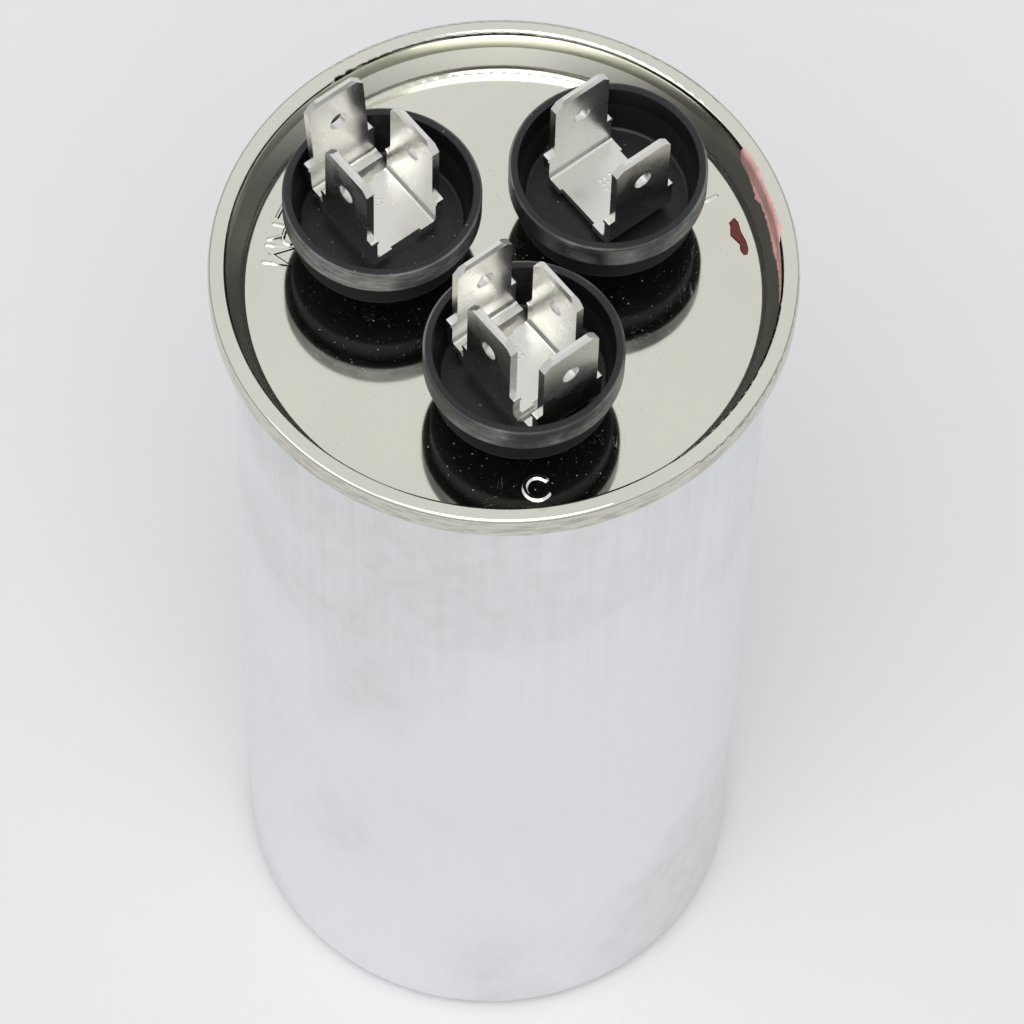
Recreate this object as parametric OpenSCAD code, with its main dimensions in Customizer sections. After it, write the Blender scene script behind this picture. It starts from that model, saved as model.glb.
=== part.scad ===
// Round dual motor run capacitor: a drawn aluminium can, a tinplate lid double-seamed onto it, three insulated
// quick-connect terminals, and the wound film element with its leads that the can holds.
// Millimetres, +Z up, origin in the middle of the can's base. FAN lies on +X, HERM at 120 and C at 240 degrees.

/* [Can] */
// Outer radius of the can's straight wall
can_r = 25.4; // [24:0.1:32]
// Height from the base to the top of the seam
can_h = 108; // [80:1:150]
// Thickness of the can's wall
can_wall = 0.35; // [0.25:0.05:0.45]
// Thickness of the can's base
can_base = 0.9; // [0.6:0.1:1.5]
// Outer radius of the rounded edge round the base
can_corner = 2; // [1:0.1:3]

/* [Lid and seam] */
// Thickness of the lid's tinplate
lid_t = 0.3; // [0.2:0.05:0.35]
// Depth of the flat panel below the top of the seam
panel_drop = 4.2; // [3.9:0.1:6]
// Fillet where the panel turns up into the chuck wall
panel_fillet = 0.6; // [0.4:0.1:0.8]
// Height of the rolled seam
seam_h = 2.8; // [2.6:0.1:3.2]
// Outward step of the can's wall under the seam
seam_flare = 1.15; // [1:0.05:1.3]
// Height over which the can's wall steps outward
flare_run = 1.8; // [1.4:0.1:2.2]
// Clearance between the seam's layers
seam_gap = 0.03; // [0.02:0.01:0.04]
// Rounding of the seam's inner top edge
seam_round_in = 0.4; // [0.35:0.05:0.5]
// Rounding of the seam's outer top edge
seam_round_out = 0.45; // [0.35:0.05:0.5]
// Rounding of the seam's lower edge
seam_round_low = 0.4; // [0.2:0.05:0.4]
// Thickness of the sealing compound in the fold
compound_t = 0.12; // [0.06:0.02:0.2]
// Clearance between the lid's chuck wall and the can
chuck_clear = 0.1; // [0.05:0.05:0.3]

/* [Terminal insulators] */
// Distance of each terminal from the can's axis
terminal_r = 12.25; // [11.5:0.05:14]
// Outer radius of the insulator's band
cup_r = 9.3; // [9:0.1:9.9]
// Height of the band
band_h = 2.6; // [2:0.1:3.4]
// Height of the insulator's rim above the seam
cup_rise = 5.4; // [4:0.1:8]
// Thickness of the rim
cup_rim = 0.85; // [0.6:0.05:1]
// Depth of the recess inside the rim
cup_depth = 5.3; // [4.5:0.1:5.8]
// Inward lean of the recess wall from rim to floor
cup_lean = 0.7; // [0.3:0.1:0.8]
// Width of the ledge under the band
ledge_w = 0.75; // [0.5:0.05:0.85]
// Thickness of the recess floor
cup_floor = 1.15; // [0.9:0.05:1.5]
// Rounding at the foot of the bowl
bowl_round = 0.9; // [0.5:0.1:1]
// Radius of the neck that carries the cup
neck_r = 4.8; // [4.4:0.1:5.5]
// Radius of the spigot that passes through the lid
spigot_r = 2.9; // [2.6:0.1:3.2]
// Clearance round the spigot in the lid and the seals
spigot_clear = 0.15; // [0.1:0.05:0.3]
// Thickness of the rubber gasket on the lid
gasket_t = 0.8; // [0.5:0.1:1.2]
// Overhang of the gasket beyond the neck
gasket_over = 0.5; // [0:0.1:1]
// Thickness of the bushing under the lid
bushing_t = 1.2; // [0.8:0.1:2]
// Outer radius of the bushing
bushing_r = 5.2; // [4.6:0.1:6]

/* [Studs and lugs] */
// Radius of the stud's shank
stud_r = 1.5; // [1.2:0.1:1.8]
// Radius of the stud's flat head
stud_head_r = 3.1; // [2.8:0.1:3.3]
// Thickness of the head let into the floor
stud_head_t = 0.7; // [0.5:0.1:0.8]
// Clearance round the shank
stud_clear = 0.08; // [0.04:0.02:0.15]
// Radius of the stud's upset lower end
upset_r = 2.5; // [2.2:0.1:3]
// Height of the upset end
upset_h = 0.9; // [0.6:0.1:1.4]
// Outer radius of the steel washer
washer_r = 4.2; // [3.6:0.1:4.8]
// Thickness of the steel washer
washer_t = 0.6; // [0.4:0.1:1]
// Outer radius of the solder lug's ring
lug_r = 3.4; // [3:0.1:3.8]
// Thickness of the lug
lug_t = 0.5; // [0.3:0.1:0.8]
// Width of the lug's tail
lug_w = 3.2; // [2.4:0.1:4]
// Reach of the tail from the stud towards the can's axis
lug_reach = 5.6; // [5:0.1:6]
// Gap between the end of a lug's tail and the insulation of its lead
tail_clear = 0.3; // [0.2:0.1:0.5]

/* [Blades] */
// Width of a blade
tab_w = 6.3; // [4.8:0.1:6.5]
// Thickness of the blade stock
tab_t = 0.8; // [0.5:0.1:0.9]
// Height of a blade's tip above its base plate
tab_h = 11.4; // [9.6:0.1:12.4]
// Size of a blade's clipped corners
tip_clip = 1.1; // [0.6:0.1:1.5]
// Height of the bevel along a blade's tip
bevel_h = 0.45; // [0.3:0.05:0.8]
// Depth of the bevel on each face
bevel_d = 0.2; // [0.1:0.05:0.3]
// Diameter of the hole in a blade
hole_d = 1.9; // [1.4:0.1:2.2]
// Distance of the hole from the tip
hole_drop = 4.2; // [3.4:0.1:4.6]
// Extra width of the base and shoulders over the blade
shoulder_over = 1.1; // [0.6:0.1:1.1]
// Reach of the stop nubs beyond the shoulders
nub_reach = 0.2; // [0.1:0.05:0.3]
// Height of a stop nub
nub_h = 0.6; // [0.5:0.1:1]
// Height of the nubs' middle above the base plate
nub_z = 2.9; // [2.2:0.1:3.5]
// Inner radius of the bends
bend_r = 0.4; // [0.2:0.1:0.5]
// Gap between the blades of the upper pair
pair_gap = 6.8; // [6.4:0.1:7.2]
// Gap between the blades of the FAN pair
fan_gap = 8.2; // [7.4:0.1:9]
// Gap between the blades of the lower, crossing pair
cross_gap = 11.8; // [11.4:0.1:11.8]
// Height of the crossing strip's raised ends above the plate on top of it
strip_lift = 0.4; // [0.2:0.1:0.6]
// Length of the crossing strip's joggle
joggle_run = 0.9; // [0.7:0.1:1]
// Depth of the sheared step along each base plate
plate_step = 0.25; // [0.1:0.05:0.4]
// Outward lean of the single HERM blade in degrees
herm_lean = 6; // [0:1:7]

/* [Wound element] */
// Radius of the bore in the core tube
core_bore = 3; // [2.4:0.1:3.5]
// Wall of the core tube
core_wall = 1.4; // [1:0.1:2]
// Outer radius of the inner FAN section
fan_roll_r = 9.5; // [8.5:0.1:11]
// Thickness of the film wrap between the sections
section_t = 0.4; // [0.3:0.1:0.8]
// Thickness of the outer wrap
outer_wrap_t = 0.5; // [0.3:0.1:0.8]
// Thickness of each sprayed metal end
spray_t = 1; // [0.6:0.1:1.5]
// Clearance between wound layers
wind_clear = 0.02; // [0.01:0.01:0.05]
// Running clearance between nested inner pieces
nest_clear = 0.1; // [0.05:0.05:0.2]
// Space between the roll's top and the interrupter disc
head_space = 11; // [9:0.5:16]

/* [Liner and discs] */
// Clearance between the can and its liner
liner_clear = 0.25; // [0.1:0.05:0.5]
// Wall of the insulating liner
liner_wall = 0.8; // [0.5:0.1:1.2]
// Floor of the insulating liner
liner_floor = 1.2; // [0.8:0.1:2]
// Thickness of the spacer under the roll
spacer_t = 2; // [1.8:0.1:3]
// Thickness of the interrupter disc
disc_t = 1.5; // [1:0.1:2.5]
// Clearance round a lug's tail in the disc
slot_clear = 0.5; // [0.3:0.1:0.8]
// Radius of the disc's oil vents
vent_r = 2; // [1:0.1:3]
// Wall of the disc's upright collar
collar_wall = 0.9; // [0.6:0.1:1.5]
// Clearance between the collar and the lid
collar_clear = 0.15; // [0.1:0.05:0.3]
// Depth of the space between the disc and the lid
disc_drop = 5.2; // [4.8:0.1:6]
// Wall of the hold-down ring on the roll
ring_wall = 2; // [1.2:0.1:3]

/* [Leads] */
// Radius of a lead's bare conductor
wire_r = 0.6; // [0.4:0.05:0.7]
// Thickness of a lead's insulation
sleeve_t = 0.5; // [0.3:0.05:0.6]
// Bend radius of a lead
wire_bend = 2; // [1.6:0.1:2.2]
// Bare length at each end of a lead
strip_len = 2.4; // [1.5:0.1:2.6]
// Length of the FAN lead's level run
fan_run = 5; // [4.6:0.1:5.4]
// Turn of that run from the terminal's plane in degrees
fan_swing = 70; // [55:1:85]

/* [Hidden] */
$fn = 96;
FAN_ANGLE = 0;
HERM_ANGLE = 120;
C_ANGLE = 240;
// Overlap that joins two shapes of one piece
tiny = 0.01;
// Past a face, for a cut that goes right through
past = 1;

// Seam, from the inside outwards: chuck wall, can wall, cover hook, body hook, outer wall
body_out = can_r + seam_flare;
body_in = body_out - can_wall;
chuck_out = body_in - seam_gap;
chuck_in = chuck_out - lid_t;
cover_hook_in = body_out + seam_gap;
cover_hook_out = cover_hook_in + lid_t;
body_hook_in = cover_hook_out + seam_gap;
body_hook_out = body_hook_in + can_wall;
seam_in = body_hook_out + seam_gap;
seam_r = seam_in + lid_t;
fold_top = can_h - lid_t - compound_t;
hook_top = fold_top - can_wall - seam_gap;
hook_foot = can_h - seam_h + lid_t + seam_gap;
// The can's step ends just under the seam, and the chuck wall's lean just above its lower edge
under_seam = 0.2;
lean_over = 0.4;
flare_top = can_h - seam_h - under_seam;
panel_z = can_h - panel_drop;
foot_in = can_r - can_wall - chuck_clear - lid_t;
foot_z = panel_z + panel_fillet;
lean_top = can_h - seam_h + lean_over;
// The compound stops short of the outer fold
compound_in = 0.3;

// Insulator levels
rim_z = can_h + cup_rise;
ledge_z = rim_z - band_h;
floor_z = rim_z - cup_depth;
bowl_z = floor_z - cup_floor;
bowl_r = cup_r - ledge_w;
recess_top_r = cup_r - cup_rim;
recess_floor_r = recess_top_r - cup_lean;
// Small fillet round the recess floor, and the rim's broken edges
recess_fillet = 0.35;
rim_edge = 0.2;
lid_under = panel_z - lid_t;
gasket_top = panel_z + gasket_t;
bushing_z = lid_under - bushing_t;
// The spigot stops short of the bushing's underside, so the bushing takes the stud's pull
spigot_short = 0.3;
spigot_z = bushing_z + spigot_short;
lid_hole_r = spigot_r + spigot_clear;
washer_z = bushing_z - washer_t;
lug_z = washer_z - lug_t;
upset_z = lug_z - upset_h;

// Blade levels: the strip lies on the floor, the pair's plate on the strip
strip_z = floor_z;
plate_z = strip_z + tab_t;
plate_top = plate_z + tab_t;
shoulder_w = tab_w + shoulder_over;
strip_end_z = plate_top + strip_lift - tab_t;
// Full-width length left at each end of a base plate, beside its sheared step
step_len = 1.3;
// Clearance between the crossing strip's joggle and the plate on top of it
joggle_clear = 0.1;
// How far the single HERM strip stops inside the edge of the plate on top of it
strip_short = 0.3;

// Levels inside the can
liner_r = can_r - can_wall - liner_clear;
liner_in = liner_r - liner_wall;
liner_foot = max(can_corner - can_wall, liner_clear);
disc_top = lid_under - disc_drop;
disc_z = disc_top - disc_t;
spacer_z = can_base + liner_floor;
spray_low_z = spacer_z + spacer_t;
roll_z = spray_low_z + spray_t;
spray_high_z = disc_z - head_space - spray_t;
spray_high_top = spray_high_z + spray_t;
core_r = core_bore + core_wall;
roll_r = liner_in - nest_clear - outer_wrap_t;
herm_roll_in = fan_roll_r + section_t;
// The section wrap and the core tube stand above the upper sprayed ends
section_stand = 1.5;
core_stand = 0.5;
sleeve_r = wire_r + sleeve_t;
// A lead stops short of the disc, and lies this far from the metal it is soldered to
lead_short = 0.8;
solder_t = 0.05;
tail_x = terminal_r - lug_reach;
lead_x = tail_x + lug_t / 2 + wire_r + solder_t;
lead_turn_z = spray_high_top + head_space / 2;
lead_top_z = disc_z - lead_short;
herm_lead_x = (herm_roll_in + roll_r) / 2;
low_lead_z = spray_low_z - wire_r - solder_t;
low_lead_x = fan_roll_r - 1;
// Clearances of the bottom spacer round the C lead and inside the outer wrap
spacer_slot = 0.3;
spacer_in = 1;

// ---- Helpers ----

// Rectangle from low to high corner in the plane of a section
module box2(low, high) {
    translate(low) square(high - low);
}

// Upright rectangle whose two top corners are rounded by their own radii
module round_top(low, high, r_left, r_right) {
    difference() {
        box2(low, high);
        translate([low[0], high[1] - r_left]) corner_cut(r_left, -1);
        translate([high[0], high[1] - r_right]) corner_cut(r_right, 1);
    }
}

// Upright rectangle whose two bottom corners are rounded
module round_foot(low, high, r) {
    difference() {
        box2(low, high);
        translate([low[0], low[1] + r]) mirror([0, 1]) corner_cut(r, -1);
        translate([high[0], low[1] + r]) mirror([0, 1]) corner_cut(r, 1);
    }
}

// What a rounding of radius r takes off a top corner; side is -1 on the left and 1 on the right
module corner_cut(r, side) {
    if (r > 0) mirror([side < 0 ? 1 : 0, 0]) difference() {
        translate([-r, 0]) square(r + past);
        translate([-r, 0]) circle(r);
    }
}

// Quarter ring between two radii, in the quadrant below and right of its centre
module quarter_band(r_in, r_out) {
    intersection() {
        difference() {
            circle(r_out);
            circle(r_in);
        }
        translate([0, -r_out]) square(r_out);
    }
}

// Flat ring or disc
module ring(z, h, r_out, r_in = 0) {
    translate([0, 0, z]) difference() {
        cylinder(h = h, r = r_out);
        if (r_in > 0) translate([0, 0, -past]) cylinder(h = h + 2 * past, r = r_in);
    }
}

// Puts its children at one terminal, with the child's own X axis pointing away from the can's axis
module at_terminal(angle) {
    rotate(angle) translate([terminal_r, 0, 0]) children();
}

// Puts its children at one terminal without turning them: all blades stand square to each other
module square_at_terminal(angle) {
    translate([terminal_r * cos(angle), terminal_r * sin(angle), 0]) children();
}

// ---- Can and lid ----

module can_profile() {
    inner_corner = max(can_corner - can_wall, 0.1);
    // Base and straight wall
    difference() {
        union() {
            box2([0, can_corner], [can_r, flare_top - flare_run]);
            box2([0, 0], [can_r - can_corner, can_corner]);
            translate([can_r - can_corner, can_corner]) circle(can_corner);
        }
        box2([-past, can_base + inner_corner], [can_r - can_wall, flare_top]);
        box2([-past, can_base], [can_r - can_wall - inner_corner, can_base + inner_corner + tiny]);
        translate([can_r - can_wall - inner_corner, can_base + inner_corner]) circle(inner_corner);
    }
    // Step outward under the seam
    polygon([[can_r - can_wall, flare_top - flare_run], [can_r, flare_top - flare_run],
             [body_out, flare_top], [body_in, flare_top]]);
    // Wall in the seam, folded outward and down as the body hook
    difference() {
        union() {
            box2([body_in, flare_top], [body_out, fold_top - seam_round_in]);
            round_top([body_in, hook_foot], [body_hook_out, fold_top],
                      seam_round_in - lid_t, seam_round_out - lid_t);
        }
        box2([body_out, hook_foot - past], [body_hook_in, fold_top - can_wall]);
    }
}

module can() {
    color([0.86, 0.87, 0.89]) rotate_extrude() can_profile();
}

module lid_profile() {
    // Panel, fillet and leaning foot of the chuck wall
    box2([0, lid_under], [foot_in - panel_fillet, panel_z]);
    translate([foot_in - panel_fillet, foot_z]) quarter_band(panel_fillet, panel_fillet + lid_t);
    polygon([[foot_in, foot_z], [foot_in + lid_t, foot_z], [chuck_out, lean_top], [chuck_in, lean_top]]);
    // Rolled seam with its cover hook
    difference() {
        union() {
            round_top([chuck_in, lean_top], [seam_r, can_h], seam_round_in, seam_round_out);
            round_foot([cover_hook_in, can_h - seam_h], [seam_r, lean_top], seam_round_low);
        }
        round_top([chuck_out, hook_top], [seam_in, can_h - lid_t],
                  seam_round_in - lid_t, seam_round_out - lid_t);
        box2([chuck_out, lean_top], [cover_hook_in, hook_top + tiny]);
        box2([cover_hook_out, can_h - seam_h + lid_t], [seam_in, hook_top + tiny]);
    }
}

module lid() {
    color([0.80, 0.80, 0.76]) difference() {
        rotate_extrude() lid_profile();
        for (angle = [FAN_ANGLE, HERM_ANGLE, C_ANGLE])
            at_terminal(angle) translate([0, 0, lid_under - past])
                cylinder(h = lid_t + 2 * past, r = lid_hole_r);
    }
}

module seam_compound() {
    color([0.55, 0.50, 0.42])
        ring(fold_top, compound_t, body_hook_out - compound_in, body_in + seam_round_in - lid_t);
}

// ---- Terminal insulators and seals ----

module cup_profile() {
    difference() {
        union() {
            // Band with its rim, bowl, neck and spigot
            round_top([0, ledge_z], [cup_r, rim_z], rim_edge, rim_edge);
            round_foot([0, bowl_z], [bowl_r, ledge_z + tiny], bowl_round);
            box2([0, gasket_top], [neck_r, bowl_z + bowl_round]);
            box2([0, spigot_z], [spigot_r, gasket_top]);
        }
        // Recess, wider towards the rim, with a small fillet round its floor
        polygon([[-past, floor_z + recess_fillet], [recess_floor_r, floor_z + recess_fillet],
                 [recess_top_r, rim_z], [recess_top_r, rim_z + past], [-past, rim_z + past]]);
        box2([-past, floor_z], [recess_floor_r - recess_fillet, floor_z + recess_fillet]);
        translate([recess_floor_r - recess_fillet, floor_z + recess_fillet]) circle(recess_fillet);
        // Pocket for the stud's head, and its shank's bore
        box2([-past, floor_z - stud_head_t], [stud_head_r + stud_clear, floor_z + past]);
        box2([-past, spigot_z - past], [stud_r + stud_clear, floor_z]);
    }
}

module cup(angle) {
    color([0.16, 0.17, 0.18]) at_terminal(angle) rotate_extrude() difference() {
        cup_profile();
        box2([-2 * past, spigot_z - past], [0, rim_z + past]);
    }
}

module gasket(angle) {
    color([0.10, 0.10, 0.10]) at_terminal(angle)
        ring(panel_z, gasket_t, neck_r + gasket_over, spigot_r + spigot_clear);
}

module bushing(angle) {
    color([0.55, 0.36, 0.20]) at_terminal(angle)
        ring(bushing_z, bushing_t, bushing_r, spigot_r + spigot_clear);
}

module washer(angle) {
    color([0.70, 0.70, 0.72]) at_terminal(angle) ring(washer_z, washer_t, washer_r, stud_r + stud_clear);
}

// Flat head in the cup's floor, shank through the lid, upset end under the lug.
// Head_rise lifts the head's top above the floor, as a pad for the plate that is welded onto it.
module stud(angle, head_rise) {
    color([0.78, 0.76, 0.70]) at_terminal(angle) {
        ring(floor_z - stud_head_t, stud_head_t + head_rise, stud_head_r);
        ring(upset_z, floor_z - stud_head_t + tiny - upset_z, stud_r);
        ring(upset_z, upset_h, upset_r);
    }
}

// Ring under the washer with a tail that turns down through the interrupter disc
module lug(angle) {
    bend = lug_t;
    tail_z = lead_top_z - strip_len + tail_clear;
    color([0.80, 0.80, 0.78]) at_terminal(angle) {
        difference() {
            union() {
                translate([0, 0, lug_z]) cylinder(h = lug_t, r = lug_r);
                translate([-lug_reach + lug_t / 2 + bend, -lug_w / 2, lug_z])
                    cube([lug_reach - lug_t / 2 - bend, lug_w, lug_t]);
            }
            translate([0, 0, lug_z - past]) cylinder(h = lug_t + 2 * past, r = stud_r + stud_clear);
        }
        translate([-lug_reach + lug_t / 2 + bend, lug_w / 2, lug_z - bend]) rotate([90, 0, 0])
            linear_extrude(lug_w) rotate(180) quarter_band(bend, bend + lug_t);
        translate([-lug_reach - lug_t / 2, -lug_w / 2, tail_z])
            cube([lug_t, lug_w, lug_z - bend - tail_z]);
    }
}

// ---- Blades ----

// Outline of one blade in its own plane, standing on the end of its bend
module blade_outline() {
    stand = bend_r;
    tip = tab_h - stand;
    half = tab_w / 2;
    nub_foot = nub_z - nub_h / 2 - stand;
    nub_end = shoulder_w / 2 + nub_reach - nub_h / 2;
    difference() {
        union() {
            polygon([[-half, 0], [half, 0], [half, tip - tip_clip], [half - tip_clip, tip],
                     [tip_clip - half, tip], [-half, tip - tip_clip]]);
            translate([-shoulder_w / 2, 0]) square([shoulder_w, nub_foot + tiny]);
            // Stop nubs with round ends
            translate([-nub_end, nub_foot]) square([2 * nub_end, nub_h]);
            for (side = [-1, 1])
                translate([side * nub_end, nub_foot + nub_h / 2]) circle(d = nub_h);
        }
        translate([0, tip - hole_drop]) circle(d = hole_d);
    }
}

// Side view of a blade's stock with its bevelled tip; X runs from the inner to the outer face
module blade_side() {
    tip = tab_h - bend_r;
    polygon([[0, -tiny], [tab_t, -tiny], [tab_t, tip - bevel_h], [tab_t - bevel_d, tip],
             [bevel_d, tip], [0, tip - bevel_h]]);
}

module blade() {
    intersection() {
        rotate([90, 0, 90]) linear_extrude(tab_t) blade_outline();
        translate([0, shoulder_w / 2 + nub_reach + past, 0]) rotate([90, 0, 0])
            linear_extrude(shoulder_w + 2 * (nub_reach + past)) blade_side();
    }
}

// One blade and its bend on the +X side of a plate whose top is at z = 0 and whose inner gap ends at x
module bent_blade(x, lean = 0) {
    translate([x - bend_r, 0, bend_r]) {
        translate([0, shoulder_w / 2, 0]) rotate([90, 0, 0]) linear_extrude(shoulder_w) intersection() {
            quarter_band(bend_r, bend_r + tab_t);
            rotate(-lean) translate([-tab_h, -2 * tab_h]) square(2 * tab_h);
        }
        rotate([0, lean, 0]) translate([bend_r, 0, 0]) blade();
    }
}

// Flat plate between two bends, each long edge sheared a step narrower between its ends
module base_plate(x0, x1) {
    difference() {
        translate([x0, -shoulder_w / 2, -tab_t]) cube([x1 - x0, shoulder_w, tab_t]);
        for (side = [0, 1])
            mirror([0, side, 0]) translate([x0 + step_len, shoulder_w / 2 - plate_step, -tab_t - past])
                cube([x1 - x0 - 2 * step_len, plate_step + past, tab_t + 2 * past]);
    }
}

// Two blades bent up from one plate
module blade_pair(gap) {
    base_plate(-gap / 2 + bend_r, gap / 2 - bend_r);
    bent_blade(gap / 2);
    mirror([1, 0, 0]) bent_blade(gap / 2);
}

// Side view of the crossing strip between two stations: low middle, joggle up and raised end on the +X side
module strip_half(x_low) {
    rise = strip_end_z - strip_z;
    miter = tab_t * tan(atan2(rise, joggle_run) / 2);
    low = shoulder_w / 2 + joggle_clear + miter;
    end = cross_gap / 2 - bend_r;
    polygon([[x_low, 0], [low, 0], [low + joggle_run, rise], [end, rise], [end, rise + tab_t],
             [low + joggle_run - miter, rise + tab_t], [low - miter, tab_t], [x_low, tab_t]]);
}

// One side of the crossing strip with its blade, over +X, starting at x_low
module strip_arm(x_low, lean = 0) {
    translate([0, shoulder_w / 2, strip_z]) rotate([90, 0, 0]) linear_extrude(shoulder_w) strip_half(x_low);
    translate([0, 0, strip_end_z + tab_t]) bent_blade(cross_gap / 2, lean);
}

module upper_blades(angle) {
    color([0.86, 0.86, 0.82]) square_at_terminal(angle) translate([0, 0, plate_top]) blade_pair(pair_gap);
}

module lower_blades_c() {
    color([0.84, 0.84, 0.80]) square_at_terminal(C_ANGLE) {
        rotate(90) strip_arm(0);
        rotate(-90) strip_arm(0);
    }
}

module lower_blade_herm() {
    color([0.84, 0.84, 0.80]) square_at_terminal(HERM_ANGLE) rotate(90)
        strip_arm(strip_short - shoulder_w / 2, herm_lean);
}

module blades_fan() {
    color([0.86, 0.86, 0.82]) square_at_terminal(FAN_ANGLE) translate([0, 0, plate_top]) rotate(90)
        blade_pair(fan_gap);
}

// ---- Discs and liner ----

module interrupter_disc() {
    slot_x = lug_t + 2 * slot_clear;
    slot_y = lug_w + 2 * slot_clear;
    color([0.88, 0.86, 0.78]) difference() {
        union() {
            ring(disc_z, disc_t, liner_r);
            ring(disc_top - tiny, disc_drop - collar_clear + tiny, liner_r, liner_r - collar_wall);
        }
        for (angle = [FAN_ANGLE, HERM_ANGLE, C_ANGLE]) {
            at_terminal(angle) translate([-lug_reach - slot_x / 2, -slot_y / 2, disc_z - past])
                cube([slot_x, slot_y, disc_t + 2 * past]);
            // An oil vent midway between two terminals
            rotate(angle + 60) translate([terminal_r, 0, disc_z - past])
                cylinder(h = disc_t + 2 * past, r = vent_r);
        }
    }
}

module hold_down_ring() {
    color([0.80, 0.82, 0.78])
        ring(spray_high_top, head_space, roll_r - nest_clear, roll_r - nest_clear - ring_wall);
}

module liner() {
    color([0.90, 0.90, 0.86]) rotate_extrude() difference() {
        round_foot([0, can_base], [liner_r, disc_z], liner_foot);
        box2([-past, spacer_z], [liner_in, disc_z + past]);
        box2([-past, can_base - past], [0, disc_z + past]);
    }
}

module bottom_spacer() {
    slot = 2 * (wire_r + spacer_slot);
    color([0.72, 0.60, 0.42]) difference() {
        ring(spacer_z, spacer_t, roll_r - spacer_in, core_bore);
        rotate(C_ANGLE) translate([0, -slot / 2, spacer_z - past])
            cube([low_lead_x + wire_r + spacer_slot, slot, spacer_t + 2 * past]);
    }
}

// ---- Wound element ----

module core_tube() {
    color([0.75, 0.75, 0.72])
        ring(spray_low_z, spray_high_top + core_stand - spray_low_z, core_r, core_bore);
}

module fan_winding() {
    color([0.82, 0.82, 0.86])
        ring(roll_z, spray_high_z - roll_z, fan_roll_r, core_r + wind_clear);
}

module section_wrap() {
    color([0.92, 0.90, 0.80])
        ring(roll_z, spray_high_top + section_stand - roll_z,
             herm_roll_in - wind_clear, fan_roll_r + wind_clear);
}

module herm_winding() {
    color([0.78, 0.78, 0.83]) ring(roll_z, spray_high_z - roll_z, roll_r, herm_roll_in);
}

module outer_wrap() {
    color([0.93, 0.92, 0.86])
        ring(spray_low_z, spray_high_top - spray_low_z, roll_r + outer_wrap_t, roll_r + wind_clear);
}

module fan_end_spray() {
    color([0.62, 0.63, 0.65]) ring(spray_high_z, spray_t, fan_roll_r, core_r + wind_clear);
}

module herm_end_spray() {
    color([0.62, 0.63, 0.65]) ring(spray_high_z, spray_t, roll_r, herm_roll_in);
}

module common_end_spray() {
    color([0.62, 0.63, 0.65]) ring(spray_low_z, spray_t, roll_r, core_r + wind_clear);
}

// ---- Leads ----

function unit(v) = v / norm(v);
function heading(p, i) = unit(p[i + 1] - p[i]);
function turn(p, i) = acos(heading(p, i - 1) * heading(p, i));
function trim(p, i) = i == 0 || i == len(p) - 1 ? 0 : wire_bend * tan(turn(p, i) / 2);

// Round wire or tube along a path of corner points, each corner rounded to the wire's bend radius
module wire(p, r_out, r_in = 0) {
    for (i = [0:len(p) - 2]) {
        d = heading(p, i);
        translate(p[i] + d * trim(p, i)) rotate([0, acos(d[2]), atan2(d[1], d[0])])
            ring(0, norm(p[i + 1] - p[i]) - trim(p, i) - trim(p, i + 1), r_out, r_in);
    }
    for (i = [1:1:len(p) - 2]) {
        d = heading(p, i - 1);
        n = unit(heading(p, i) - d * (d * heading(p, i)));
        c = p[i] - d * trim(p, i) + n * wire_bend;
        k = cross(-n, d);
        multmatrix([[-n[0], d[0], k[0], c[0]], [-n[1], d[1], k[1], c[1]],
                    [-n[2], d[2], k[2], c[2]], [0, 0, 0, 1]])
            rotate_extrude(angle = turn(p, i)) translate([wire_bend, 0]) difference() {
                circle(r_out);
                if (r_in > 0) circle(r_in);
            }
    }
}

// The same path with its two ends drawn back by the bare length
function stripped(p) = [for (i = [0:len(p) - 1])
    i == 0 ? p[0] + heading(p, 0) * strip_len :
    i == len(p) - 1 ? p[i] - heading(p, i - 1) * strip_len : p[i]];

// Each path is in an upright plane; X = 0 is the can's axis, or the lug's end of the run for FAN
fan_path = [[-fan_run, 0, spray_high_top], [-fan_run, 0, lead_turn_z], [0, 0, lead_turn_z], [0, 0, lead_top_z]];
herm_path = [[herm_lead_x, 0, spray_high_top], [herm_lead_x, 0, lead_turn_z],
             [lead_x, 0, lead_turn_z], [lead_x, 0, lead_top_z]];
c_path = [[low_lead_x, 0, low_lead_z], [0, 0, low_lead_z], [0, 0, lead_turn_z],
          [lead_x, 0, lead_turn_z], [lead_x, 0, lead_top_z]];
// The C lead is bare under the roll and insulated from where it runs straight up the core
c_sleeve_path = [[0, 0, low_lead_z + wire_bend], [0, 0, lead_turn_z],
                 [lead_x, 0, lead_turn_z], [lead_x, 0, lead_top_z - strip_len]];

// Turns the FAN lead's plane about its upper end, beside the lug
module at_fan_lead() {
    rotate(FAN_ANGLE) translate([lead_x, 0, 0]) rotate(fan_swing) children();
}

module lead_c() {
    color([0.80, 0.62, 0.45]) rotate(C_ANGLE) wire(c_path, wire_r);
}

module lead_herm() {
    color([0.80, 0.62, 0.45]) rotate(HERM_ANGLE) wire(herm_path, wire_r);
}

module lead_fan() {
    color([0.80, 0.62, 0.45]) at_fan_lead() wire(fan_path, wire_r);
}

module sleeve_c() {
    color([0.75, 0.12, 0.10]) rotate(C_ANGLE) wire(c_sleeve_path, sleeve_r, wire_r + wind_clear);
}

module sleeve_herm() {
    color([0.90, 0.80, 0.15]) rotate(HERM_ANGLE) wire(stripped(herm_path), sleeve_r, wire_r + wind_clear);
}

module sleeve_fan() {
    color([0.20, 0.35, 0.70]) at_fan_lead() wire(stripped(fan_path), sleeve_r, wire_r + wind_clear);
}

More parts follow.
